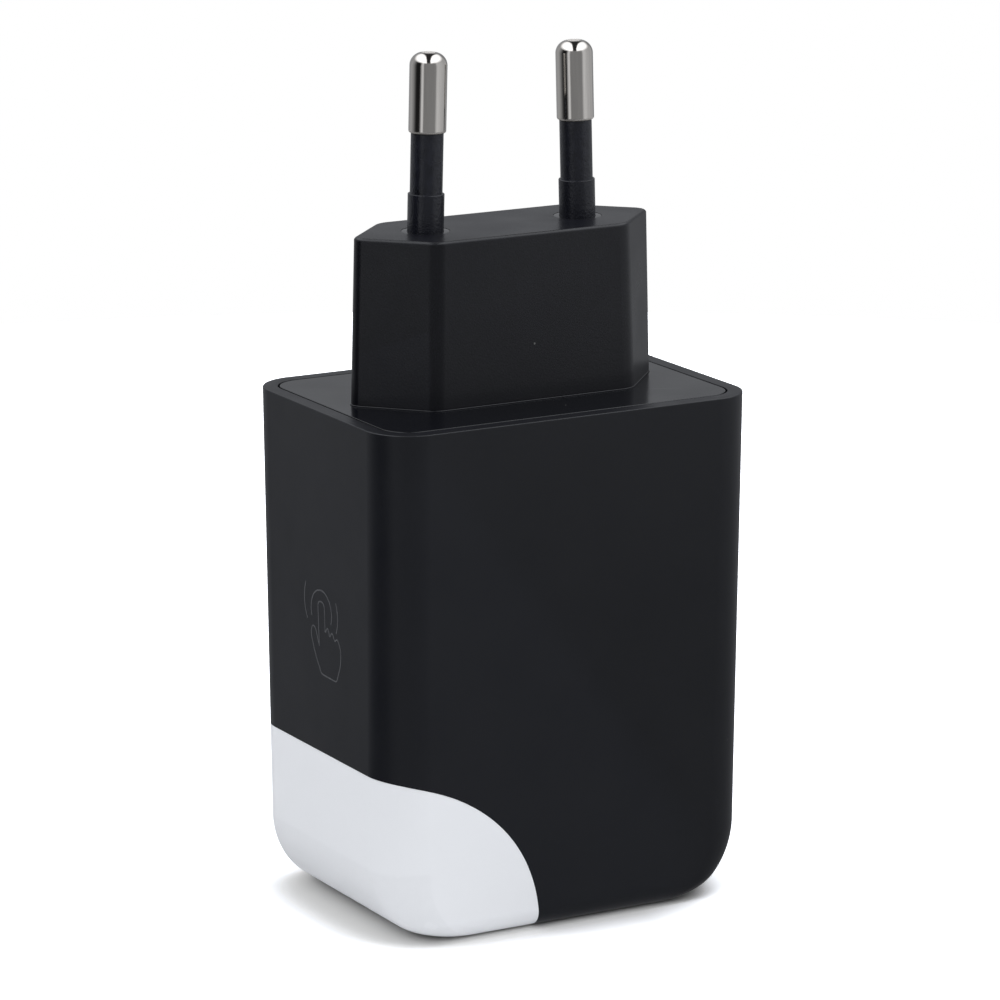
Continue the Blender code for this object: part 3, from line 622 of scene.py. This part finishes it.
# Its lightening of sharp edges paints a bright highlight line round the metal's lower end
NICKEL = surface(
    "nickel",
    (0.60, 0.57, 0.53),
    0.085,
    metallic=1.0,
    patches=0.02,
    grain=(0.25, 0.0022),
    mottle=0.10,
    edge_wear_and_highlight=1.5,
    sharp_edge_from=0.516,
    worn_roughness=0.55,
    stretch=(3.0, 3.0, 0.15),
)
SYMBOL = surface("symbol_grey", (0.062, 0.063, 0.066), 0.45, mottle=0.15)
STEEL = surface(
    "steel",
    (0.56, 0.56, 0.57),
    0.24,
    metallic=1.0,
    grain=(0.30, 0.0020),
    stretch=(1.0, 1.0, 0.2),
)
GOLD = surface("gold_contact", (0.83, 0.62, 0.26), 0.24, metallic=1.0, grain=(0.2, 0.001))
PORT_PLASTIC = surface("port_plastic", (0.018, 0.018, 0.019), 0.45, grain=(0.15, 0.003))
INSIDE = {
    "reflector_white": surface("reflector_white", (0.80, 0.80, 0.78), 0.42, mottle=0.02),
    "board_green": surface("board_green", (0.02, 0.14, 0.05), 0.32, mottle=0.18, grain=(0.6, 0.004)),
    "board_white": surface("board_white", (0.72, 0.72, 0.70), 0.35, mottle=0.03),
    "chip_black": surface("chip_black", (0.022, 0.022, 0.023), 0.52, grain=(0.08, 0.004)),
    "can_blue": surface("can_blue", (0.02, 0.035, 0.12), 0.25, grain=(1.5, 0.006)),
    "can_silver": surface("can_silver", (0.66, 0.66, 0.67), 0.28, metallic=1.0),
    "disc_blue": surface("disc_blue", (0.03, 0.14, 0.42), 0.30, grain=(0.8, 0.02)),
    "fuse_brown": surface("fuse_brown", (0.075, 0.045, 0.03), 0.40, grain=(0.2, 0.004)),
    "ferrite": surface("ferrite", (0.045, 0.045, 0.047), 0.60, grain=(0.12, 0.012)),
    "bobbin_black": surface("bobbin_black", (0.025, 0.025, 0.026), 0.48),
    "tape_yellow": surface("tape_yellow", (0.72, 0.50, 0.06), 0.26, grain=(2.0, 0.01)),
    "clear_film": surface("clear_film", (0.50, 0.52, 0.50), 0.22, grain=(2.5, 0.01)),
    "led_yellow": surface("led_yellow", (0.85, 0.74, 0.30), 0.30, mottle=0.05),
    "wire_brown": surface("wire_brown", (0.16, 0.06, 0.03), 0.38),
    "wire_blue": surface("wire_blue", (0.03, 0.09, 0.32), 0.38),
    "steel": STEEL,
    "gold_contact": GOLD,
    "port_plastic": PORT_PLASTIC,
}


# ---------------------------------------------------------------- outside pieces


def mouth_cutter(number):
    """The opening for a USB receptacle through the end face, flared outwards."""
    low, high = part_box(f"usb_port_shell_{number}")
    centre = (low + high) / 2
    half_x, half_y = (high.x - low.x) / 2 + MOUTH_GAP, (high.y - low.y) / 2 + MOUTH_GAP
    start = 0.2 * MM
    flare = ((MOUTH_FLARE + start, -start), (MOUTH_FLARE, 0.0), (0.0, MOUTH_FLARE), (0.0, 3 * WALL))
    rings = []
    for extra, z in flare:
        outline = rounded_rectangle(half_x + extra, half_y + extra, MOUTH_CORNER + extra, 8)
        rings.append([(centre.x + x, centre.y + y, z) for x, y in outline])
    return loft("cut_port", rings)


def make_casing():
    """A cup-shaped shell: up the outside, over the rim, down the cover's seat and the inside."""
    top = BODY_HEIGHT
    levels = body_levels(0.0, top - RIM_EDGE, END_STEPS, EDGE_STEPS)
    levels.insert(-1, levels[-1] - SUPPORT)
    rings = [body_ring(z, 0.0) for z in levels]
    for x, z in arc((RIM_EDGE, top - RIM_EDGE), RIM_EDGE, 165, 90, 5):
        rings.append(body_ring(z, 0.0, x))
    for x, z in arc((RIM - GROOVE_EDGE, top - GROOVE_EDGE), GROOVE_EDGE, 90, 0, 4):
        rings.append(body_ring(z, 0.0, x))
    seat = top - COVER_THICKNESS - COVER_SEAT_GAP
    rings.append(body_ring(seat, 0.0, RIM))
    levels = body_levels(WALL, seat, 10, 4)
    rings += [body_ring(z, WALL) for z in reversed(levels)]
    casing = loft("casing", rings)
    cut(casing, diffuser_region("cut_region", SEAM / 2))
    for number in (1, 2):
        cut(casing, mouth_cutter(number))
    return finish_piece(casing, CASING, ["housing_shell"])


def make_diffuser():
    """The body's shape on the diffuser's side of the edge, hollowed out."""
    top = DIFFUSER_HEIGHT + 2 * MM
    rings = [body_ring(z, 0.0) for z in body_levels(0.0, top, END_STEPS, EDGE_STEPS)]
    diffuser = loft("diffuser", rings)
    cut(diffuser, diffuser_region("keep_region", -SEAM / 2), "INTERSECT")
    rings = [body_ring(z, DIFFUSER_WALL) for z in body_levels(DIFFUSER_WALL, top + 2 * MM, 8, 3)]
    cut(diffuser, loft("cut_inside", rings))
    return finish_piece(diffuser, DIFFUSER, ["light_diffuser"])


def make_cover():
    """The plate in the casing's rim, with a window for the plug block."""
    inset = RIM + GROOVE + COVER_EDGE
    outer = rounded_rectangle(
        BODY_WIDTH / 2 - inset, BODY_DEPTH / 2 - inset, BODY_CORNER - inset, CORNER_STEPS
    )
    window = block_outline(BLOCK_BASE, COVER_WINDOW_GAP + COVER_EDGE)
    cover = plate(
        "cover", [outer, window], BODY_HEIGHT - COVER_THICKNESS, BODY_HEIGHT, COVER_EDGE
    )
    return finish_piece(cover, COVER, ["mains_cover"])


def pin_axis(node):
    """A matrix that puts a pin's root at the block's top face, with its Z along the pin."""
    points = [vertex.co for vertex in NODES[node].data.vertices]
    low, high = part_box(node)
    ends = []
    for level in (low.z, high.z):
        near = [point for point in points if abs(point.z - level) < 0.1 * MM]
        ends.append(sum(near, Vector()) / len(near))
    tail, tip = ends
    along = (tip - tail).normalized()
    root = tail + along * ((BLOCK_HEAD - tail.z) / along.z)
    turn = along.to_track_quat("Z", "Y").to_matrix().to_4x4()
    turn.translation = root
    return turn, (tip - root).length, (tail - root).length


def cutter_profile(radius, low, high):
    """Half the section of a plain cylinder, from its axis and back."""
    return [(AXIS_RADIUS / 2, low), (radius, low), (radius, high), (AXIS_RADIUS / 2, high)]


def make_block():
    """The plug block, with a bead at its foot, and a shallow boss seat and a bore for each pin."""
    head, foot = BLOCK_HEAD, BODY_HEIGHT
    sections = [(BLOCK_FOOT, BLOCK_BASE, 0.0), (foot - 0.02 * MM, BLOCK_BASE, 0.0)]
    for out, up in arc((BEAD_OUT - BEAD_RADIUS, BEAD_HEIGHT), BEAD_RADIUS, -30, 80, 6):
        sections.append((foot + up, BLOCK_BASE, out))
    foot += 2 * SUPPORT
    spans = 6
    for step in range(spans + 1):
        share = step / spans
        size = [low + (high - low) * share for low, high in zip(BLOCK_BASE, BLOCK_TOP)]
        z = foot + (head - BLOCK_TOP_EDGE - SUPPORT - foot) * share
        sections.append((z, size, 0.0))
    for out, up in arc((-BLOCK_TOP_EDGE, -BLOCK_TOP_EDGE), BLOCK_TOP_EDGE, 0, 90, 8):
        sections.append((head + up, BLOCK_TOP, out))
    rings = [[(x, y, z) for x, y in block_outline(size, offset)] for z, size, offset in sections]
    block = loft("plug_block", rings)
    block.data.materials.append(BLOCK)
    seat, bore = BOSS_RADIUS + BOSS_SEAT_GAP, COLLAR_RADIUS + BORE_GAP
    seat_floor, bore_floor = -BOSS_DEPTH - BOSS_SEAT_FLOOR, -SLEEVE_DEPTH - BORE_FLOOR
    recess_top, bore_top = 1.0 * MM, 0.2 * MM
    for node in ("pin_left", "pin_right"):
        axis, _, _ = pin_axis(node)
        recess = cutter_profile(seat, seat_floor, recess_top)
        cut(block, lathe("cut_recess", recess, Matrix.Translation(axis.translation)))
        cut(block, lathe("cut_bore", cutter_profile(bore, bore_floor, bore_top), axis))
    return finish_piece(block, BLOCK, ["plug_body"])


def make_pin(side):
    """A pin: its thin core with the full-width metal end and the domed tip."""
    node = "pin_" + side
    axis, length, tail = pin_axis(node)
    dome = PIN_RADIUS - PIN_TIP_FLAT
    foot = length - PIN_METAL
    edge = PIN_FOOT_EDGE
    profile = [(AXIS_RADIUS, -tail), (PIN_CORE_RADIUS - PIN_TAIL_EDGE, -tail)]
    profile += [(PIN_CORE_RADIUS, PIN_TAIL_EDGE - tail), (PIN_CORE_RADIUS, foot)]
    profile += arc((PIN_RADIUS - edge, foot + edge), edge, -90, 0, 4)
    profile.append((PIN_RADIUS, foot + edge + SUPPORT))
    profile += arc((PIN_TIP_FLAT, length - dome), dome, 0, 90, 16)
    profile.append((AXIS_RADIUS, length))
    return finish_piece(lathe(node + "_metal", profile, axis), NICKEL, [node])


def make_sleeve(side):
    """The pin's insulating sleeve, with the thicker collar at its root."""
    axis, length, _ = pin_axis("pin_" + side)
    top = length - PIN_METAL - SLEEVE_GAP
    bore = PIN_CORE_RADIUS + SLEEVE_GAP
    edge, step = SLEEVE_EDGE, COLLAR_LENGTH
    foot = 0.02 * MM
    profile = [(bore, -SLEEVE_DEPTH), (COLLAR_RADIUS, -SLEEVE_DEPTH)]
    profile += arc((COLLAR_RADIUS - edge, step - edge), edge, 0, 78, 4)
    profile += [(SLEEVE_RADIUS + foot, step + foot), (SLEEVE_RADIUS, step + edge)]
    profile += arc((SLEEVE_RADIUS - edge, top - edge), edge, 0, 90, 4)
    profile.append((bore, top))
    name = "pin_sleeve_" + side
    sleeve = lathe(name + "_moulding", profile, axis, closed=True)
    return finish_piece(sleeve, SLEEVE, [name])


def make_boss(side):
    """The smooth ring of the pin carrier that shows round the collar, just below the top face."""
    axis, _, _ = pin_axis("pin_" + side)
    high, low = -BOSS_DEPTH * 0.4, -BOSS_DEPTH - BOSS_THICKNESS
    bore = COLLAR_RADIUS + BOSS_BORE_GAP
    upright = Matrix.Translation(axis.translation)
    profile = [(bore, low), (BOSS_RADIUS, low)]
    profile += arc((BOSS_RADIUS - BOSS_EDGE, high - BOSS_EDGE), BOSS_EDGE, 0, 90, 4)
    profile.append((bore, high))
    boss = lathe(f"pin_boss_{side}", profile, upright, closed=True)
    return finish_piece(boss, BOSS)


def make_port_shell(number):
    """The folded steel shell of a receptacle, with a rounded lip at its mouth."""
    node = f"usb_port_shell_{number}"
    low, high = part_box(node)
    centre = (low + high) / 2
    half_x, half_y = (high.x - low.x) / 2, (high.y - low.y) / 2
    lip = SHELL_METAL / 2
    profile = [(-SHELL_METAL, high.z), (0.0, high.z), (0.0, low.z + lip)]
    profile += arc((-lip, low.z + lip), lip, -20, -160, 6)
    profile.append((-SHELL_METAL, low.z + 2 * lip))
    rings = []
    for out, z in profile:
        outline = rounded_rectangle(half_x + out, half_y + out, SHELL_CORNER + out, 6)
        rings.append([(centre.x + x, centre.y + y, z) for x, y in outline])
    shell = loft(f"port_shell_{number}", rings, closed=True)
    return finish_piece(shell, STEEL, [node])


def make_port_springs(number):
    """The four leaf springs that grip a plug: two on each long wall of the shell, each a hump."""
    low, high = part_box(f"usb_port_shell_{number}")
    centre = (low + high) / 2
    wall_y = (high.y - low.y) / 2 - SHELL_METAL
    start, end = low.z + SPRING_START, low.z + SPRING_END
    steps = 14
    for side_x, side_y, word in ((-1, -1, "a"), (1, -1, "b"), (-1, 1, "c"), (1, 1, "d")):
        x = centre.x + side_x * SPRING_ASIDE
        left, right = x - SPRING_HALF_WIDTH, x + SPRING_HALF_WIDTH
        rings = []
        for step in range(steps + 1):
            share = step / steps
            z = start + (end - start) * share
            hump = SPRING_HUMP * math.sin(math.pi * share) ** 1.5 + SPRING_LIFT
            inner = centre.y + side_y * (wall_y - hump)
            outer = centre.y + side_y * (wall_y - hump + SPRING_METAL)
            rings.append([(left, inner, z), (right, inner, z), (right, outer, z), (left, outer, z)])
        finish_piece(loft(f"port_spring_{number}_{word}", rings), STEEL)


def ribbon(name, points, width, place_on, material, closed=False):
    """A line of even width drawn on a surface: place_on puts a flat point and a height on it."""
    count = len(points)
    line = [Vector(point) for point in points]
    rings = []
    for i, here in enumerate(line):
        back = line[(i - 1) % count] if closed else line[max(i - 1, 0)]
        ahead = line[(i + 1) % count] if closed else line[min(i + 1, count - 1)]
        along = (ahead - back).normalized()
        side = Vector((-along.y, along.x)) * width / 2
        low, high = -SYMBOL_RELIEF, SYMBOL_RELIEF
        edges = ((here - side, low), (here + side, low), (here + side, high), (here - side, high))
        rings.append([place_on(flat, height) for flat, height in edges])
    return finish_piece(loft(name, rings, closed), material)


def on_narrow_side(flat, height):
    """A point of the -X side, from its place along -Y and up Z."""
    z = flat.y
    return (-body_section(z, 0.0)[0] - height, -flat.x, z)


def smooth_line(corners, steps=6):
    """A closed outline whose listed corners carry their own radius."""
    outline = [(x, y) for x, y, _ in corners]
    points = []
    count = len(outline)
    for i, (x, y, radius) in enumerate(corners):
        here = Vector((x, y))
        back = Vector(outline[i - 1]) - here
        ahead = Vector(outline[(i + 1) % count]) - here
        reach = min(radius, back.length * 0.48, ahead.length * 0.48)
        start, end = here + back.normalized() * reach, here + ahead.normalized() * reach
        for step in range(steps + 1):
            t = step / steps
            points.append(start * (1 - t) ** 2 + here * 2 * t * (1 - t) + end * t**2)
    return points


def make_touch_symbol():
    """A faint printed pointing hand with ripples round its fingertip, over the touch spring."""
    hand = smooth_line([(y * MM, z * MM, radius * MM) for y, z, radius in HAND])
    lines = [("hand", hand, True)]
    for word, ripple in RIPPLES.items():
        lines.append((f"ripple_{word}", arc(*ripple), False))
    for word, points, closed in lines:
        name = "touch_symbol_" + word
        ribbon(name, points, SYMBOL_WIDTH, on_narrow_side, SYMBOL, closed)


def dress_carried_nodes():
    """Gives each CAD node that stays a procedural material for its slot."""
    for subpart in frame["record"]["subparts"]:
        node, slot = subpart["node"], subpart["material_slot"]
        if NODES[node].hide_render:
            continue
        data = NODES[node].data
        data.materials.clear()
        data.materials.append(INSIDE[slot])


# ---------------------------------------------------------------- studio and camera

# Brightness of the studio walls round the object, by the angle from the camera's own
# direction, positive to its right
STUDIO_RING = (
    (-180, 0.36),
    (-134, 0.40),
    (-119, 0.47),
    (-99, 0.31),
    (-82, 0.08),
    (-73, 0.015),
    (-51, 0.015),
    (-44, 0.30),
    (-38, 0.80),
    (-30, 0.80),
    (-24, 0.26),
    (46, 0.28),
    (54, 0.62),
    (62, 0.72),
    (88, 0.58),
    (116, 0.50),
    (132, 0.50),
    (150, 0.24),
    (180, 0.36),
)
STUDIO_TINT = (0.975, 1.0, 1.05)

# Two panels overhead with a dark strip between them: their brightness on the far side from the
# camera and on its own side, the heights in degrees where they set in and are full, and the
# strip's centre, half width and blurred edge in the sideways part of a direction
CEILING_BACK, CEILING_FRONT = 1.55, 2.42
CEILING_START, CEILING_FULL = 27, 42
STRIP_CENTRE, STRIP_HALF_WIDTH, STRIP_END = 0.03, 0.15, 0.22
STRIP_BRIGHTNESS = 0.03

# Floor as the camera sees it. The contact shadow lies where the nearby object leaves less than
# the share SHADOW_NONE of the floor's view open, and it fades towards the +X end, where the
# casing's round end lifts off the floor
FLOOR_RADIUS = 310 * MM
FLOOR_BELOW = 0.02 * MM
FLOOR_COLOUR = (2.0, 2.0, 2.0, 1.0)
SHADOW_COLOUR = (0.745, 0.730, 0.700, 1.0)
SHADOW_REACH = 10 * MM
SHADOW_DEEP, SHADOW_NONE = 0.46, 0.86
SHADOW_SOFTNESS = 1.35
SHADOW_FADE_START, SHADOW_FADE_END = 8.0 * MM, 20.0 * MM
SHADOW_FADE = 0.25

# Brightness of the floor in reflections, by the same angle as the walls
FLOOR_MIRRORED = (
    (-180, 0.28),
    (-150, 0.26),
    (-100, 0.24),
    (-82, 0.07),
    (-48, 0.07),
    (-26, 0.20),
    (100, 0.21),
    (140, 0.29),
    (180, 0.28),
)


def turned_to_camera(tree, direction):
    """The parts of a direction, with X towards the camera and Y to its right."""
    turn = math.radians(-90 + CAMERA_AZIMUTH)
    inputs = {"Vector": direction, "Angle": -turn}
    turned = add_node(tree, "ShaderNodeVectorRotate", inputs, rotation_type="Z_AXIS").outputs[0]
    return add_node(tree, "ShaderNodeSeparateXYZ", {"Vector": turned}).outputs


def brightness_round(tree, parts, entries):
    """A colour that follows a list of angles from the camera's direction and brightnesses."""
    angle = math_node(tree, "ARCTAN2", parts["Y"], parts["X"])
    share = remap(tree, angle, -math.pi, math.pi, 0.0, 1.0)
    ramp = add_node(tree, "ShaderNodeValToRGB", {"Fac": share})
    elements = ramp.color_ramp.elements
    for i, (degrees, brightness) in enumerate(entries):
        place = (degrees + 180) / 360
        element = elements[i] if i < 2 else elements.new(place)
        element.position = place
        element.color = tint(STUDIO_TINT, brightness)
    return ramp.outputs["Color"]


def make_world():
    world = bpy.data.worlds.new("studio")
    bpy.context.scene.world = world
    world.use_nodes = True
    tree = world.node_tree
    tree.nodes.clear()
    parts = turned_to_camera(tree, add_node(tree, "ShaderNodeTexCoord").outputs["Generated"])
    walls = brightness_round(tree, parts, STUDIO_RING)
    low, high = (math.sin(math.radians(degrees)) for degrees in (CEILING_START, CEILING_FULL))
    ceiling_share = remap(tree, parts["Z"], low, high, 0.0, 1.0)
    aside = math_node(tree, "SUBTRACT", parts["Y"], STRIP_CENTRE)
    aside = math_node(tree, "ABSOLUTE", aside)
    panel_share = remap(tree, aside, STRIP_HALF_WIDTH, STRIP_END, 0.0, 1.0)
    back, front = (
        (*(channel * brightness for channel in STUDIO_TINT), 1.0)
        for brightness in (CEILING_BACK, CEILING_FRONT)
    )
    panels = blend_colours(tree, remap(tree, parts["X"], -1.0, 1.0, 0.0, 1.0), back, front)
    strip = tint(STUDIO_TINT, STRIP_BRIGHTNESS)
    ceiling = blend_colours(tree, panel_share, strip, panels)
    lit = blend_colours(tree, ceiling_share, walls, ceiling)
    seen = add_node(tree, "ShaderNodeLightPath").outputs["Is Camera Ray"]
    colour = blend_colours(tree, seen, lit, (1.0, 1.0, 1.0, 1.0))
    background = add_node(tree, "ShaderNodeBackground", {"Color": colour, "Strength": 1.0})
    output = add_node(tree, "ShaderNodeOutputWorld")
    tree.links.new(background.outputs[0], output.inputs["Surface"])


def floor_seen(tree, place):
    """The floor's colour to the camera: overexposed, down to the contact shadow."""
    inputs = {"Distance": SHADOW_REACH}
    open_share = add_node(tree, "ShaderNodeAmbientOcclusion", inputs, samples=16).outputs["AO"]
    along = add_node(tree, "ShaderNodeSeparateXYZ", {0: place}).outputs["X"]
    fade = remap(tree, along, SHADOW_FADE_START, SHADOW_FADE_END, 0.0, SHADOW_FADE)
    open_share = math_node(tree, "ADD", open_share, fade)
    bright_share = remap(tree, open_share, SHADOW_DEEP, SHADOW_NONE, 0.0, 1.0)
    bright_share = math_node(tree, "POWER", bright_share, SHADOW_SOFTNESS)
    return blend_colours(tree, bright_share, SHADOW_COLOUR, FLOOR_COLOUR)


def floor_material():
    """Pale and matt. Mirrored in the object it shows set brightnesses, as under small lamps."""
    material = bpy.data.materials.new("pale_floor")
    material.use_nodes = True
    tree = material.node_tree
    tree.nodes.clear()
    place = add_node(tree, "ShaderNodeTexCoord").outputs["Object"]
    cloudy = noise_of(tree, place, 50 * MM)
    pale = blend_colours(tree, cloudy, (0.93, 0.93, 0.93, 1), (0.95, 0.95, 0.95, 1))
    rays = add_node(tree, "ShaderNodeLightPath").outputs
    colour = blend_colours(tree, rays["Is Camera Ray"], pale, floor_seen(tree, place))
    matt = add_node(tree, "ShaderNodeBsdfDiffuse", {"Color": colour}).outputs[0]
    round_object = brightness_round(tree, turned_to_camera(tree, place), FLOOR_MIRRORED)
    mirrored = add_node(tree, "ShaderNodeEmission", {"Color": round_object}).outputs[0]
    both = add_node(tree, "ShaderNodeMixShader", {0: rays["Is Glossy Ray"], 1: matt, 2: mirrored})
    output = add_node(tree, "ShaderNodeOutputMaterial")
    tree.links.new(both.outputs[0], output.inputs["Surface"])
    return material


def make_floor():
    """A round table top under the charger."""
    shape = bmesh.new()
    bmesh.ops.create_circle(shape, cap_ends=True, segments=96, radius=FLOOR_RADIUS)
    for vertex in shape.verts:
        vertex.co.z = -FLOOR_BELOW
    floor = link("floor", mesh_from("floor", shape))
    floor.data.materials.append(floor_material())


def make_camera():
    data = bpy.data.cameras.new("camera")
    camera = bpy.data.objects.new("camera", data)
    bpy.context.scene.collection.objects.link(camera)
    azimuth, elevation = math.radians(CAMERA_AZIMUTH), math.radians(CAMERA_ELEVATION)
    back = Vector(
        (
            math.sin(azimuth) * math.cos(elevation),
            -math.cos(azimuth) * math.cos(elevation),
            math.sin(elevation),
        )
    )
    camera.location = CAMERA_TARGET + back * CAMERA_DISTANCE
    camera.rotation_mode = "QUATERNION"
    camera.rotation_quaternion = (-back).to_track_quat("-Z", "Y")
    data.sensor_width = CAMERA_SENSOR
    data.lens = CAMERA_LENS
    data.clip_start, data.clip_end = 0.01, 10.0
    bpy.context.scene.camera = camera
    bpy.context.scene.view_settings.view_transform = "Standard"


make_camera()
make_casing()
make_diffuser()
make_cover()
make_block()
for pin_side in ("left", "right"):
    make_pin(pin_side)
    make_sleeve(pin_side)
    make_boss(pin_side)
for port_number in (1, 2):
    make_port_shell(port_number)
    make_port_springs(port_number)
make_touch_symbol()
dress_carried_nodes()
make_floor()
make_world()
